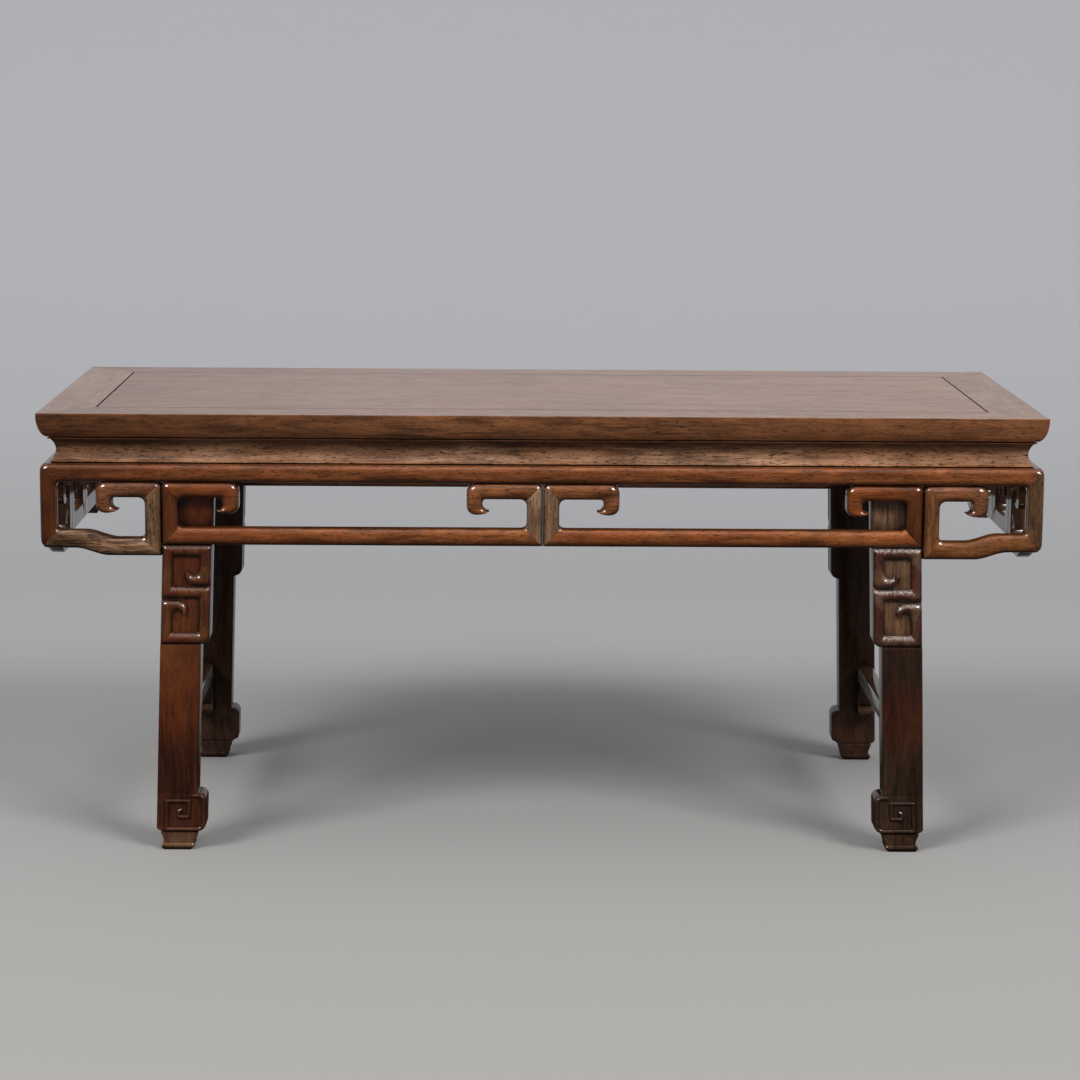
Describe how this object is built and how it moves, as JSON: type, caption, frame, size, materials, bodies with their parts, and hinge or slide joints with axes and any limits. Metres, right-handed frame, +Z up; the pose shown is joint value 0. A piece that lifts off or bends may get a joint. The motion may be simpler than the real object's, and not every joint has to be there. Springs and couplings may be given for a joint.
{
  "type": "kang table",
  "caption": "Low hardwood table with a framed top, hollow waist, openwork hooked apron and leaning legs with carved panels and scroll feet.",
  "frame": {"origin": "on the floor, under the middle of the top", "axes": "+X along the length of the top to the right end, +Y to the back, +Z up"},
  "size_m": [0.9, 0.3828, 0.398],
  "materials": {
    "panel_wood": "waxed and polished",
    "frame_wood": "waxed and polished",
    "waist_wood": "waxed and polished",
    "apron_wood": "waxed and polished",
    "leg_wood": "waxed and polished",
    "stretcher_wood": "waxed and polished",
    "underside_wood": "bare, dulled",
    "peg_wood": "bare, dulled"
  },
  "bodies": {
    "root": {"apron_rail_back": "apron_wood", "apron_rail_front": "apron_wood", "apron_rail_left": "apron_wood", "apron_rail_right": "apron_wood", "back_centre_hooks": "apron_wood", "back_centre_posts": "apron_wood", "back_end_hooks": "apron_wood", "back_end_posts": "apron_wood", "back_leg_hooks": "apron_wood", "back_leg_posts": "apron_wood", "batten_left": "underside_wood", "batten_middle": "underside_wood", "batten_right": "underside_wood", "corner_post_back_left": "apron_wood", "corner_post_back_right": "apron_wood", "corner_post_front_left": "apron_wood", "corner_post_front_right": "apron_wood", "front_centre_hooks": "apron_wood", "front_centre_posts": "apron_wood", "front_end_hooks": "apron_wood", "front_end_posts": "apron_wood", "front_leg_hooks": "apron_wood", "front_leg_posts": "apron_wood", "leg_back_left": "leg_wood", "leg_back_right": "leg_wood", "leg_front_left": "leg_wood", "leg_front_right": "leg_wood", "leg_pegs": "peg_wood", "long_rail_back_left": "apron_wood", "long_rail_back_right": "apron_wood", "long_rail_front_left": "apron_wood", "long_rail_front_right": "apron_wood", "scroll_pegs": "peg_wood", "side_hooks_left": "apron_wood", "side_hooks_right": "apron_wood", "side_long_rails_left": "apron_wood", "side_long_rails_right": "apron_wood", "side_posts_left": "apron_wood", "side_posts_right": "apron_wood", "side_wavy_rail_back_left": "apron_wood", "side_wavy_rail_back_right": "apron_wood", "side_wavy_rail_front_left": "apron_wood", "side_wavy_rail_front_right": "apron_wood", "stretcher_brackets_left": "stretcher_wood", "stretcher_brackets_right": "stretcher_wood", "stretcher_left": "stretcher_wood", "stretcher_right": "stretcher_wood", "top_panel": "panel_wood", "top_rail_back": "frame_wood", "top_rail_front": "frame_wood", "top_stile_left": "frame_wood", "top_stile_right": "frame_wood", "waist_back": "waist_wood", "waist_front": "waist_wood", "waist_left": "waist_wood", "waist_right": "waist_wood", "wavy_rail_back_left": "apron_wood", "wavy_rail_back_right": "apron_wood", "wavy_rail_front_left": "apron_wood", "wavy_rail_front_right": "apron_wood"}
  },
  "joints": []
}
